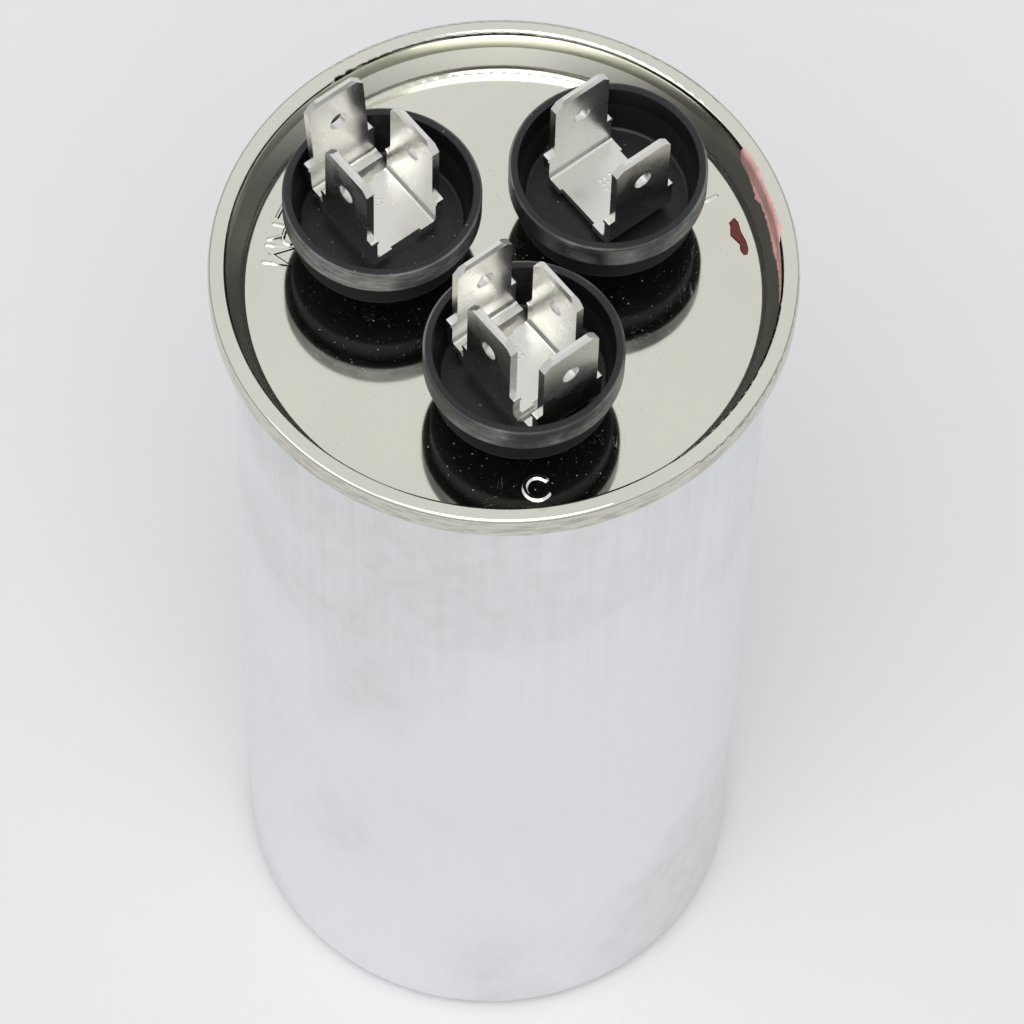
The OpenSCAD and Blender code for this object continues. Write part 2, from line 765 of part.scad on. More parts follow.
can();
lid();
seam_compound();
cup(C_ANGLE);  // cup_c
cup(HERM_ANGLE);  // cup_herm
cup(FAN_ANGLE);  // cup_fan
gasket(C_ANGLE);  // gasket_c
gasket(HERM_ANGLE);  // gasket_herm
gasket(FAN_ANGLE);  // gasket_fan
bushing(C_ANGLE);  // bushing_c
bushing(HERM_ANGLE);  // bushing_herm
bushing(FAN_ANGLE);  // bushing_fan
washer(C_ANGLE);  // washer_c
washer(HERM_ANGLE);  // washer_herm
washer(FAN_ANGLE);  // washer_fan
stud(C_ANGLE, 0);  // stud_c
stud(HERM_ANGLE, 0);  // stud_herm
stud(FAN_ANGLE, plate_z - floor_z);  // stud_fan
lug(C_ANGLE);  // lug_c
lug(HERM_ANGLE);  // lug_herm
lug(FAN_ANGLE);  // lug_fan
upper_blades(C_ANGLE);  // upper_blades_c
lower_blades_c();
upper_blades(HERM_ANGLE);  // upper_blades_herm
lower_blade_herm();
blades_fan();
interrupter_disc();
hold_down_ring();
liner();
bottom_spacer();
core_tube();
fan_winding();
section_wrap();
herm_winding();
outer_wrap();
fan_end_spray();
herm_end_spray();
common_end_spray();
lead_c();
lead_herm();
lead_fan();
sleeve_c();
sleeve_herm();
sleeve_fan();
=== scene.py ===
"""Looks of the motor run capacitor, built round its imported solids."""

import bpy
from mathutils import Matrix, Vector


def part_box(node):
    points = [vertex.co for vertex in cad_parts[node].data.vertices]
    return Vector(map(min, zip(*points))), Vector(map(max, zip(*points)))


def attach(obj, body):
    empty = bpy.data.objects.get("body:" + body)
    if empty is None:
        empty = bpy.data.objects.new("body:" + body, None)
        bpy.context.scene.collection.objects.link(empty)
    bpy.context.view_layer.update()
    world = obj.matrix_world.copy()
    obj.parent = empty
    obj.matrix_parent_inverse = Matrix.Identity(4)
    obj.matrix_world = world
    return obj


bl_info = {
    "name": "Motor run capacitor",
    "version": (1, 0, 0),
    "blender": (4, 5, 0),
    "location": "3D View > Sidebar > Capacitor",
    "description": "Finishes, legends, weld marks and studio for the run capacitor",
    "category": "Object",
}

import math
import random

import bmesh
import bpy
from mathutils import Matrix, Vector, noise

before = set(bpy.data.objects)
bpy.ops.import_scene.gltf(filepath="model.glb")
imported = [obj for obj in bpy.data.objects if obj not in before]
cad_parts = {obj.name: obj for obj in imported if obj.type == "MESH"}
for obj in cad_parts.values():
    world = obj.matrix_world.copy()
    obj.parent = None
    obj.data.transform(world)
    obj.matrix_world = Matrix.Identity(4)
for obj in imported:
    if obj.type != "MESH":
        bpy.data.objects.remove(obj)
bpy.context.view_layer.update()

MM = 0.001
TERMINALS = ("fan", "herm", "c")

# Sizes read from the solids, in metres
LID_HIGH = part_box("lid")[1]
SEAM_TOP = LID_HIGH.z
SEAM_RADIUS = LID_HIGH.x
PANEL_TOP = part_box("gasket_fan")[0].z

# Sizes of the solids that their boxes don't give
BLADE_SHEET = 0.8 * MM
PANEL_FILLET = 0.6 * MM
SEAM_WIDTH = 1.72 * MM
SEAM_ROUND = 0.4 * MM
WALL_UPRIGHT = 2.4 * MM
WALL_LEAN = 1.22 * MM


def middle(node):
    """Middle of a CAD node's box."""
    low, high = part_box(node)
    return (low + high) / 2


# ---- Sizes and colours that a user would change ----

def colour(name, words, value):
    return bpy.props.FloatVectorProperty(name=name, description=words, default=value,
                                         subtype="COLOR", size=3, min=0.0, max=1.0)


def share(name, words, value):
    return bpy.props.FloatProperty(name=name, description=words, default=value,
                                   subtype="FACTOR", min=0.0, max=1.0)


def length(name, words, value):
    return bpy.props.FloatProperty(name=name, description=words, default=value,
                                   subtype="DISTANCE", unit="LENGTH", precision=5)


def angle(name, words, degrees):
    return bpy.props.FloatProperty(name=name, description=words, default=math.radians(degrees),
                                   subtype="ANGLE", unit="ROTATION")


class CanFinish(bpy.types.PropertyGroup):
    """Finish of the drawn can"""
    metal: colour("Metal", "Colour of the drawn aluminium", (0.825, 0.835, 0.858))
    smudge: colour("Smudge", "Colour of the handling marks", (0.56, 0.555, 0.53))
    smudges: share("Smudges", "How strongly the handling marks show", 0.5)
    roughness: share("Roughness", "Roughness of the drawn wall", 0.34)


class LidFinish(bpy.types.PropertyGroup):
    """Finish of the lid and its seam"""
    metal: colour("Metal", "Colour of the bright tinplate", (0.74, 0.737, 0.65))
    roughness: share("Roughness", "Roughness of the tinplate", 0.055)
    dust: share("Dust", "Share of the surface cells that hold a speck", 0.6)
    scratches: share("Scratches", "How strongly fine scratches show", 0.5)
    scratch: colour("Scratch", "Colour of fresh scratches", (0.90, 0.90, 0.88))
    # The rubbed colour is partly wear and partly painted shade: it also darkens the seam's outer band as a
    # painted darker reflection
    rubbed_and_shaded: colour("Rubbed", "Colour of the seam's rubbed outer band", (0.45, 0.435, 0.385))
    speck: colour("Speck", "Colour of the specks of dust", (0.6, 0.6, 0.58))


class MouldingFinish(bpy.types.PropertyGroup):
    """Finish of the cups, bushings and gaskets"""
    black: colour("Black", "Colour of the moulded cups", (0.012, 0.0125, 0.014))
    scuff: colour("Scuff", "Colour of scuffed moulding", (0.34, 0.34, 0.335))
    scuffs: share("Scuffs", "How much of the band is scuffed", 0.62)
    speck: colour("Speck", "Colour of the specks of dust", (0.35, 0.35, 0.35))
    roughness: share("Roughness", "Roughness of the moulding", 0.42)
    brown: colour("Brown", "Colour of the bushings under the lid", (0.30, 0.17, 0.08))
    rubber: colour("Rubber", "Colour of the gaskets", (0.02, 0.02, 0.021))


class BladeFinish(bpy.types.PropertyGroup):
    """Finish of the terminals' metal"""
    tin: colour("Tin", "Colour of the blades' plating", (0.80, 0.793, 0.757))
    roughness: share("Roughness", "Roughness of the plating", 0.27)
    edge: length("Edge", "Rounding of the blades' sheared edges", 0.12 * MM)
    steel: colour("Steel", "Colour of the washers", (0.62, 0.62, 0.63))
    stud: colour("Stud", "Colour of the studs and solder lugs", (0.74, 0.72, 0.66))


class LegendSize(bpy.types.PropertyGroup):
    """Sizes and places of the embossed legends"""
    height: length("Height", "Height of a letter", 3.04 * MM)
    width: length("Width", "Width of a letter in a word", 2.3 * MM)
    single_width: length("Single width", "Width of the letter that stands alone", 2.92 * MM)
    pitch: angle("Pitch", "Turn round the lid from letter to letter", 6.3)
    stroke: length("Stroke", "Width of an embossed stroke in a word", 0.54 * MM)
    single_stroke: length("Single stroke", "Width of the stroke that stands alone", 0.68 * MM)
    rise: length("Rise", "Height of an embossed stroke in a word", 0.11 * MM)
    single_rise: length("Single rise", "Height of the stroke that stands alone", 0.18 * MM)
    sunk: length("Sunk", "Depth of a stroke's foot under the panel", 0.015 * MM)
    radius: length("Radius", "Distance of the words from the can's axis", 21.36 * MM)
    single_radius: length("Single radius", "Distance of the single letter", 21.75 * MM)


class WeldMark(bpy.types.PropertyGroup):
    """Sizes of the weld dots"""
    radius: length("Radius", "Radius of one weld dot", 0.17 * MM)
    rise: length("Rise", "Height of one weld dot", 0.045 * MM)
    pitch: length("Pitch", "Distance between weld dots", 0.55 * MM)
    stray: share("Stray", "How far a dot strays from its place, as a share of the pitch", 0.12)


class PaintMark(bpy.types.PropertyGroup):
    """Colours and thickness of the paint"""
    pink: colour("Pink", "Colour of the paint mark", (0.78, 0.44, 0.42))
    # The red is a painted reflection: the pink mark mirrored in the panel, put on as a dark patch
    red: colour("Red", "Colour of the dry patch on the panel", (0.13, 0.02, 0.017))
    film: length("Film", "Thickness of the paint", 0.05 * MM)


class InnerFinish(bpy.types.PropertyGroup):
    """Colours of what the can holds"""
    film: colour("Film", "Colour of the wound metallised film", (0.70, 0.71, 0.75))
    wrap: colour("Wrap", "Colour of the clear wraps", (0.86, 0.85, 0.78))
    zinc: colour("Zinc", "Colour of the sprayed ends", (0.50, 0.51, 0.53))
    plastic: colour("Plastic", "Colour of the disc and its ring", (0.80, 0.78, 0.70))
    liner: colour("Liner", "Colour of the liner", (0.84, 0.84, 0.80))
    core: colour("Core", "Colour of the core tube", (0.70, 0.70, 0.68))
    board: colour("Board", "Colour of the spacer board", (0.62, 0.50, 0.34))
    copper: colour("Copper", "Colour of the leads", (0.78, 0.56, 0.36))
    red: colour("Red", "Colour of the C lead's sleeve", (0.60, 0.07, 0.05))
    yellow: colour("Yellow", "Colour of the HERM lead's sleeve", (0.80, 0.66, 0.08))
    blue: colour("Blue", "Colour of the FAN lead's sleeve", (0.08, 0.20, 0.52))
    compound: colour("Compound", "Colour of the seam's compound", (0.35, 0.31, 0.26))


class StageSettings(bpy.types.PropertyGroup):
    """Floor, light and camera"""
    floor: colour("Floor", "Colour of the floor", (0.95, 0.95, 0.955))
    azimuth: angle("Azimuth", "Direction of the camera round the can", -129.73)
    distance: length("Distance", "Level distance of the camera from the can's axis", 314.24 * MM)
    height: length("Height", "Height of the camera", 614.5 * MM)
    aim_side: length("Aim side", "Sideways offset of the aim from the can's axis", 1.54 * MM)
    aim_far: length("Aim far", "Offset of the aim beyond the can's axis", 1.98 * MM)
    aim_height: length("Aim height", "Height of the aim", 58.0 * MM)
    roll: angle("Roll", "Roll of the camera", 1.97)
    lens: bpy.props.FloatProperty(name="Lens", description="Focal length in millimetres",
                                  default=225.07, min=50.0)
    front: bpy.props.FloatProperty(name="Front", description="Power of the large softbox over the camera",
                                   default=9.0, unit="POWER", min=0.0)
    side: bpy.props.FloatProperty(name="Side", description="Power of the weak lamp at the side",
                                  default=0.9, unit="POWER", min=0.0)
    tint: colour("Tint", "Colour of the room's light", (0.985, 0.99, 1.0))
    room: share("Room", "Light level of the room", 0.52)
    backdrop: share("Backdrop", "Brightness of the backdrop", 0.86)
    horizon: share("Horizon", "Brightness of the room's far walls in reflections", 0.38)


GROUPS = {
    "capacitor_can": CanFinish, "capacitor_lid": LidFinish, "capacitor_moulding": MouldingFinish,
    "capacitor_blades": BladeFinish, "capacitor_legend": LegendSize, "capacitor_weld": WeldMark,
    "capacitor_paint": PaintMark, "capacitor_inner": InnerFinish, "capacitor_stage": StageSettings,
}


# ---- Shader building ----

def link(tree, socket, value):
    """Feeds a socket from another node's output, or sets it."""
    if isinstance(value, bpy.types.NodeSocket):
        tree.links.new(value, socket)
    else:
        socket.default_value = value


def put(tree, kind, inputs=None, **settings):
    """Adds a node, sets it and feeds its inputs."""
    made = tree.nodes.new(kind)
    for name, value in settings.items():
        setattr(made, name, value)
    for name, value in (inputs or {}).items():
        link(tree, made.inputs[name], value)
    return made


def maths(tree, kind, first, second=0.0):
    """One Math node's output."""
    return put(tree, "ShaderNodeMath", {0: first, 1: second}, operation=kind).outputs[0]


def product(tree, first, *others):
    """Values multiplied together."""
    for other in others:
        first = maths(tree, "MULTIPLY", first, other)
    return first


def largest(tree, first, *others):
    """The largest of some values."""
    for other in others:
        first = maths(tree, "MAXIMUM", first, other)
    return first


def between(tree, value, low, high, to_low=0.0, to_high=1.0):
    """Value mapped smoothly from one range to another."""
    return put(tree, "ShaderNodeMapRange",
               {"Value": value, "From Min": low, "From Max": high, "To Min": to_low, "To Max": to_high},
               interpolation_type="SMOOTHSTEP").outputs["Result"]


def shaded(tone, by=1.0):
    """A colour made darker or lighter, with its alpha."""
    return (*(min(1.0, part * by) for part in tone), 1.0)


def mixed(tree, mask, first, second):
    """Two colours mixed by a mask."""
    made = put(tree, "ShaderNodeMix", {"Factor": mask}, data_type="RGBA")
    for socket, tone in ((made.inputs[6], first), (made.inputs[7], second)):
        plain = not isinstance(tone, bpy.types.NodeSocket) and len(tone) == 3
        link(tree, socket, shaded(tone) if plain else tone)
    return made.outputs[2]


def new_effect(name, inputs, outputs):
    """An empty node group with its sockets; kinds are Float, Vector or Color."""
    tree = bpy.data.node_groups.new(name, "ShaderNodeTree")
    for label, kind, default in inputs:
        socket = tree.interface.new_socket(label, in_out="INPUT", socket_type="NodeSocket" + kind)
        if default is not None:
            socket.default_value = default
    for label, kind in outputs:
        tree.interface.new_socket(label, in_out="OUTPUT", socket_type="NodeSocket" + kind)
    return tree, tree.nodes.new("NodeGroupInput").outputs, tree.nodes.new("NodeGroupOutput").inputs


def effect(tree, name, inputs):
    """A node group placed in a material with its own values."""
    made = tree.nodes.new("ShaderNodeGroup")
    made.node_tree = EFFECTS[name]
    for label, value in inputs.items():
        link(tree, made.inputs[label], value)
    return made.outputs


def build_dust():
    """Specks scattered over a surface, each cell with its own size."""
    tree, given, out = new_effect("dust", [("Vector", "Vector", None), ("Per Metre", "Float", 900.0),
                                           ("Size", "Float", 0.16), ("Amount", "Float", 0.4)],
                                  [("Mask", "Float")])
    cells = put(tree, "ShaderNodeTexVoronoi", {"Vector": given["Vector"], "Scale": given["Per Metre"],
                                               "Randomness": 1.0}, feature="F1")
    pick = put(tree, "ShaderNodeSeparateColor", {"Color": cells.outputs["Color"]}).outputs
    held = maths(tree, "LESS_THAN", pick["Red"], given["Amount"])
    reach = product(tree, given["Size"], maths(tree, "POWER", pick["Green"], 2.0))
    inside = maths(tree, "LESS_THAN", cells.outputs["Distance"], reach)
    tree.links.new(product(tree, held, inside), out["Mask"])
    return tree


def build_scratches():
    """Thin broken lines along one direction: contours of a stretched noise."""
    tree, given, out = new_effect("scratches", [("Vector", "Vector", None), ("Turn", "Vector", (0, 0, 0)),
                                                ("Stretch", "Vector", (1, 1, 1)), ("Width", "Float", 0.01),
                                                ("Amount", "Float", 0.5)], [("Mask", "Float")])
    turned = put(tree, "ShaderNodeMapping", {"Vector": given["Vector"], "Rotation": given["Turn"]})
    drawn = put(tree, "ShaderNodeMapping", {"Vector": turned.outputs[0], "Scale": given["Stretch"]})
    lines = put(tree, "ShaderNodeTexNoise", {"Vector": drawn.outputs[0], "Scale": 1.0, "Detail": 2.0,
                                             "Roughness": 0.6}).outputs[0]
    off = maths(tree, "ABSOLUTE", maths(tree, "SUBTRACT", lines, 0.5))
    thin = put(tree, "ShaderNodeMapRange", {"Value": off, "From Min": given["Width"], "From Max": 0.0})
    gaps = put(tree, "ShaderNodeTexNoise", {"Vector": turned.outputs[0], "Scale": 260.0, "Detail": 1.0})
    kept = maths(tree, "LESS_THAN", gaps.outputs[0], given["Amount"])
    tree.links.new(product(tree, thin.outputs[0], kept), out["Mask"])
    return tree


def build_mottle():
    """Cloudy change of colour and a value that goes with it."""
    tree, given, out = new_effect("mottle", [("Vector", "Vector", None), ("Per Metre", "Float", 60.0),
                                             ("Low", "Color", (0, 0, 0, 1)),
                                             ("High", "Color", (1, 1, 1, 1))],
                                  [("Color", "Color"), ("Value", "Float")])
    clouds = put(tree, "ShaderNodeTexNoise", {"Vector": given["Vector"], "Scale": given["Per Metre"],
                                              "Detail": 4.0, "Roughness": 0.55}).outputs[0]
    value = between(tree, clouds, 0.34, 0.66)
    tree.links.new(mixed(tree, value, given["Low"], given["High"]), out["Color"])
    tree.links.new(value, out["Value"])
    return tree


def build_grain():
    """Fine grain with its own stretch on each axis, as a value and a normal."""
    tree, given, out = new_effect("grain", [("Vector", "Vector", None), ("Stretch", "Vector", (1, 1, 1)),
                                            ("Depth", "Float", 0.1)],
                                  [("Value", "Float"), ("Normal", "Vector")])
    drawn = put(tree, "ShaderNodeMapping", {"Vector": given["Vector"], "Scale": given["Stretch"]})
    value = put(tree, "ShaderNodeTexNoise", {"Vector": drawn.outputs[0], "Scale": 1.0, "Detail": 3.0,
                                             "Roughness": 0.6}).outputs[0]
    bump = put(tree, "ShaderNodeBump", {"Height": value, "Strength": given["Depth"], "Distance": 0.0001})
    tree.links.new(value, out["Value"])
    tree.links.new(bump.outputs[0], out["Normal"])
    return tree


EFFECTS = {}
BUILDERS = {"dust": build_dust, "scratches": build_scratches, "mottle": build_mottle, "grain": build_grain}


def new_material(name, metallic=0.0):
    """A material with its shader and the place of each point in the row's frame."""
    if not EFFECTS:
        EFFECTS.update({key: build() for key, build in BUILDERS.items()})
    made = bpy.data.materials.new(name)
    made.use_nodes = True
    tree = made.node_tree
    shader = tree.nodes["Principled BSDF"]
    shader.inputs["Metallic"].default_value = metallic
    place = put(tree, "ShaderNodeTexCoord").outputs["Object"]
    return made, tree, shader.inputs, place


def feed(tree, sockets, **values):
    """Links values into the shader; underscores stand for spaces."""
    for name, value in values.items():
        tree.links.new(value, sockets[name.replace("_", " ")])


def dress(nodes, material):
    """Gives CAD nodes their material."""
    for name in nodes:
        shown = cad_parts[name]
        shown.data.materials.clear()
        shown.data.materials.append(material)
        for face in shown.data.polygons:
            face.material_index = 0


def cloudy(tree, place, tone, per_metre, low=1.0, high=1.0):
    """A colour that drifts between a darker and a lighter shade of itself."""
    return effect(tree, "mottle", {"Vector": place, "Per Metre": per_metre, "Low": shaded(tone, low),
                                   "High": shaded(tone, high)})


def grained(tree, place, stretch, depth):
    """Fine grain: its value and the normal that goes with it."""
    return effect(tree, "grain", {"Vector": place, "Stretch": stretch, "Depth": depth})


def patches(tree, place, per_metre):
    """A cloudy mask."""
    return effect(tree, "mottle", {"Vector": place, "Per Metre": per_metre})["Value"]


def scratched(tree, place, turn, stretch, width, amount):
    """A mask of thin broken lines."""
    return effect(tree, "scratches", {"Vector": place, "Turn": turn, "Stretch": stretch, "Width": width,
                                      "Amount": amount})["Mask"]


def dusty(tree, place, per_metre, size, amount):
    """A mask of specks."""
    return effect(tree, "dust", {"Vector": place, "Per Metre": per_metre, "Size": size,
                                 "Amount": amount})["Mask"]


def moulded(name, tone, roughness=0.45, metallic=0.0, stretch=(9000, 9000, 9000), depth=0.12):
    """A plain moulded, sprayed or wound material with cloudy colour and fine grain."""
    made, tree, sockets, place = new_material(name, metallic)
    fine = grained(tree, place, stretch, depth)
    rough = between(tree, fine["Value"], 0.3, 0.7, roughness - 0.06, roughness + 0.08)
    feed(tree, sockets, Base_Color=cloudy(tree, place, tone, per_metre=160.0, low=0.88)["Color"],
         Roughness=rough, Normal=fine["Normal"])
    return made


# ---- Mesh building ----

def new_piece(name, mesh, material):
    """A mesh object that rides on the can."""
    made = bpy.data.objects.new(name, mesh)
    bpy.context.scene.collection.objects.link(made)
    mesh.materials.append(material)
    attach(made, "root")
    return made


def bead(shape, points, width, rise, seat):
    """A raised soft-edged stroke along flat points, with rounded ends, set down by a matrix."""
    # Steps across the stroke and along each rounded end
    across, along_end = 8, 5
    half = width / 2
    path = [Vector(point) for point in points]
    rings = []
    for i, point in enumerate(path):
        into = (point - path[i - 1]).normalized() if i else (path[1] - point).normalized()
        away = (path[i + 1] - point).normalized() if i < len(path) - 1 else into
        along = (into + away).normalized()
        # At a corner the stroke widens to keep its sides straight, up to twice
        side = Vector((-along.y, along.x)) / max(0.5, along.dot(into))
        rings.append((point, side, 1.0))

    def rounding(end, inner, side):
        """Rings that narrow from an end of the path outwards."""
        heading = (end - inner).normalized()
        # They stop just short of a quarter turn, so that the last one still has a size
        last_turn = 0.98 * math.pi / 2
        turns = [last_turn * k / along_end for k in range(1, along_end + 1)]
        return [(end + heading * half * math.sin(turn), side, math.cos(turn)) for turn in turns]

    first = rounding(path[0], path[1], rings[0][1])
    last = rounding(path[-1], path[-2], rings[-1][1])
    turns = [math.pi * k / across for k in range(across + 1)]
    rows = []
    for point, side, scale in [*reversed(first), *rings, *last]:
        row = []
        for turn in turns:
            flat = point + side * half * scale * math.cos(turn)
            row.append(shape.verts.new(seat @ Vector((flat.x, flat.y, rise * scale * math.sin(turn) ** 4))))
        rows.append(row)
    for low, high in zip(rows, rows[1:]):
        for k in range(across):
            shape.faces.new((low[k], low[k + 1], high[k + 1], high[k]))
        shape.faces.new((low[-1], low[0], high[0], high[-1]))
    shape.faces.new(rows[0])
    shape.faces.new(list(reversed(rows[-1])))


def arc(x, y, rx, ry, start, end, steps=20):
    """Points along part of an ellipse, angles in degrees."""
    turns = [math.radians(start + (end - start) * k / steps) for k in range(steps + 1)]
    return [(x + rx * math.cos(t), y + ry * math.sin(t)) for t in turns]


# Strokes of each letter in a box one wide and one high, centred
LETTERS = {
    "H": [[(-0.5, -0.5), (-0.5, 0.5)], [(0.5, -0.5), (0.5, 0.5)], [(-0.5, 0.0), (0.5, 0.0)]],
    "E": [[(0.45, 0.5), (-0.5, 0.5), (-0.5, -0.5), (0.45, -0.5)], [(-0.5, 0.02), (0.3, 0.02)]],
    "R": [[(-0.5, -0.5), (-0.5, 0.5), (0.15, 0.5)] + arc(0.15, 0.24, 0.35, 0.26, 75, -90, 10)
          + [(-0.5, -0.02)], [(0.1, -0.02), (0.5, -0.5)]],
    "M": [[(-0.55, -0.5), (-0.55, 0.5), (0.0, -0.28), (0.55, 0.5), (0.55, -0.5)]],
    "F": [[(0.45, 0.5), (-0.5, 0.5), (-0.5, -0.5)], [(-0.5, 0.02), (0.3, 0.02)]],
    "A": [[(-0.55, -0.5), (0.0, 0.5), (0.55, -0.5)], [(-0.33, -0.12), (0.33, -0.12)]],
    "N": [[(-0.5, -0.5), (-0.5, 0.5), (0.5, -0.5), (0.5, 0.5)]],
    "C": [arc(0.0, 0.0, 0.52, 0.5, 42, 318, 30)],
}


def finish_mesh(shape, name, smooth=True):
    """Turns a bmesh into a mesh with outward faces."""
    bmesh.ops.recalc_face_normals(shape, faces=shape.faces)
    mesh = bpy.data.meshes.new(name)
    shape.to_mesh(mesh)
    shape.free()
    if smooth:
        mesh.polygons.foreach_set("use_smooth", [True] * len(mesh.polygons))
    return mesh


def round_edges(nodes, width):
    """Breaks the sheared edges of CAD nodes with a small rounding."""
    for name in nodes:
        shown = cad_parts[name]
        edge = shown.modifiers.new("edge", "BEVEL")
        edge.width = width
        edge.segments = 3
        edge.limit_method = "ANGLE"
        edge.angle_limit = math.radians(35)
        edge.harden_normals = True
        edge.use_clamp_overlap = True


# ---- Operators ----

class CAPACITOR_OT_can(bpy.types.Operator):
    """Finish the drawn aluminium can"""
    bl_idname = "capacitor.can"
    bl_label = "Can"

    def execute(self, context):
        values = context.scene.capacitor_can
        made, tree, sockets, place = new_material("can_metal", 1.0)
        up = put(tree, "ShaderNodeSeparateXYZ", {"Vector": place}).outputs["Z"]
        stains = patches(tree, place, per_metre=22.0)
        worn = patches(tree, place, per_metre=420.0)
        drawn = grained(tree, place, stretch=(900, 900, 26), depth=0.08)
        fine = grained(tree, place, stretch=(5200, 5200, 240), depth=0.06)
        # Handling marks: large clouds, broken up finely, and more of them under the seam
        under_seam = between(tree, up, SEAM_TOP - 22 * MM, SEAM_TOP - 4 * MM, 0.0, 0.35)
        cloud = largest(tree, between(tree, stains, 0.25, 1.25, 0.0, 0.9), under_seam)
        amount = product(tree, cloud, between(tree, worn, 0.0, 1.0, 0.62, 1.0), values.smudges)
        tone = mixed(tree, amount, values.metal, values.smudge)
        # Upright lines of the drawing die show most near the top
        near_top = between(tree, up, SEAM_TOP - 60 * MM, SEAM_TOP - 6 * MM, 0.01, 0.09)
        streak = product(tree, between(tree, drawn["Value"], 0.38, 0.62), near_top)
        tone = mixed(tree, streak, tone, shaded(values.metal, 0.55))
        rough = maths(tree, "ADD", between(tree, fine["Value"], 0.3, 0.7, -0.04, 0.05),
                      between(tree, stains, 0.0, 1.0, values.roughness, values.roughness + 0.08))
        feed(tree, sockets, Base_Color=tone, Roughness=rough, Normal=drawn["Normal"])
        dress(["can"], made)
        return {"FINISHED"}


class CAPACITOR_OT_lid(bpy.types.Operator):
    """Finish the bright tinplate lid with its rolled seam"""
    bl_idname = "capacitor.lid"
    bl_label = "Lid"

    def execute(self, context):
        dress(["lid"], self.tinplate(context.scene.capacitor_lid))
        tone = context.scene.capacitor_inner.compound
        dress(["seam_compound"], moulded("compound", tone, roughness=0.7))
        return {"FINISHED"}

    def tinplate(self, values):
        """Bright tin: specks and scratches on the panel, softer walls and a rubbed outer band that is also
        darkened as a painted darker reflection.
        """
        made, tree, sockets, place = new_material("tinplate", 1.0)
        flat = put(tree, "ShaderNodeVectorMath", {0: place, 1: (1, 1, 0)}, operation="MULTIPLY").outputs[0]
        out = put(tree, "ShaderNodeVectorMath", {0: flat}, operation="LENGTH").outputs["Value"]
        up = put(tree, "ShaderNodeSeparateXYZ", {"Vector": place}).outputs["Z"]

        # Where on the lid: the flat panel, what rises from it, the leaning wall, the lip and the outer band
        panel = between(tree, up, PANEL_TOP + 0.3 * MM, PANEL_TOP + 0.15 * MM)
        under_lip = between(tree, up, SEAM_TOP - 0.3 * MM, SEAM_TOP - 0.8 * MM)
        raised = product(tree, between(tree, up, PANEL_TOP + 0.01 * MM, PANEL_TOP + 0.05 * MM), under_lip)
        leaning = product(tree, between(tree, up, PANEL_TOP + 0.25 * MM, PANEL_TOP + 0.7 * MM), under_lip)
        lip = product(tree, between(tree, up, SEAM_TOP - 0.5 * MM, SEAM_TOP - 0.35 * MM),
                      between(tree, out, SEAM_RADIUS - 1.15 * MM, SEAM_RADIUS - 1.35 * MM))
        outer = product(tree, between(tree, out, SEAM_RADIUS - 0.22 * MM, SEAM_RADIUS - 0.06 * MM),
                        between(tree, up, SEAM_TOP - 0.2 * MM, SEAM_TOP - 0.4 * MM))

        marks = largest(tree, *(scratched(tree, place, turn=(0, 0, turn), stretch=(3400, 90, 600),
                                          width=0.006, amount=amount * values.scratches)
                                for turn, amount in ((0.62, 0.66), (1.9, 0.6))))
        dust = dusty(tree, place, per_metre=2600.0, size=0.17, amount=values.dust)
        fine_dust = dusty(tree, place, per_metre=5400.0, size=0.2, amount=values.dust)
        specks = largest(tree, dust, product(tree, fine_dust, 0.3))
        specks = product(tree, specks, panel)
        rubbed_and_shaded = grained(tree, place, stretch=(420, 420, 2600), depth=0.1)["Value"]
        # The outer band: rubbed wear, and painted shade that stands in for its darker reflection
        worn = product(tree, outer, between(tree, rubbed_and_shaded, 0.42, 0.66, 0.25, 1.0))
        wide = cloudy(tree, place, values.metal, per_metre=45.0, low=0.96)

        tone = mixed(tree, product(tree, marks, 0.5), wide["Color"], values.scratch)
        tone = mixed(tree, worn, tone, values.rubbed_and_shaded)
        tone = mixed(tree, specks, tone, values.speck)
        rough = maths(tree, "ADD",
                      between(tree, wide["Value"], 0.0, 1.0, values.roughness, values.roughness + 0.02),
                      product(tree, marks, 0.35))
        rough = largest(tree, rough, *(product(tree, mask, least) for mask, least in (
            (worn, 0.3), (leaning, 0.28), (raised, 0.19), (lip, 0.13), (specks, 0.9))))
        haze = largest(tree, specks, product(tree, raised, 0.08))
        fine = grained(tree, place, stretch=(700, 700, 700), depth=0.012)
        feed(tree, sockets, Base_Color=tone, Roughness=rough, Metallic=maths(tree, "SUBTRACT", 1.0, haze),
             Normal=fine["Normal"])
        return made


